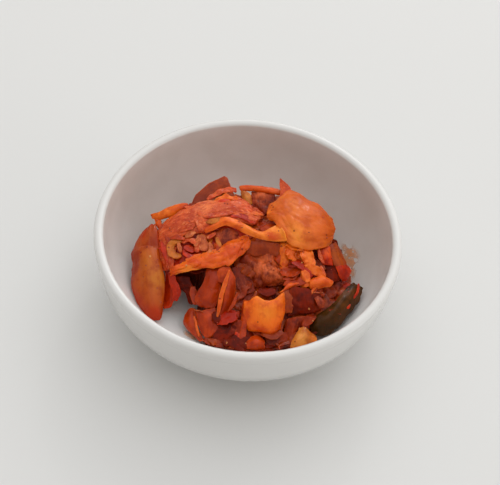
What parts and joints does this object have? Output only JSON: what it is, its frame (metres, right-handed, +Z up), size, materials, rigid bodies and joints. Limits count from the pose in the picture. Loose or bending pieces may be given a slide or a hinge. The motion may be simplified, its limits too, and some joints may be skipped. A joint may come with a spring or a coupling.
{
  "type": "bowl of kimchi",
  "caption": "Small round glazed side-dish bowl on a foot ring, holding an uneven heap of cut cabbage kimchi that leaves free space up to the rim.",
  "frame": {"origin": "centre of the foot ring's flat underside, on the surface that the bowl stands on", "axes": "+Z up out of the bowl's mouth, -Y towards the diner, +X to the diner's right"},
  "size_m": [0.12, 0.12, 0.041],
  "materials": {
    "bowl_glaze": "gloss",
    "kimchi": "gloss"
  },
  "bodies": {
    "root": {"bowl": "bowl_glaze", "kimchi_heap": "kimchi"}
  },
  "joints": []
}
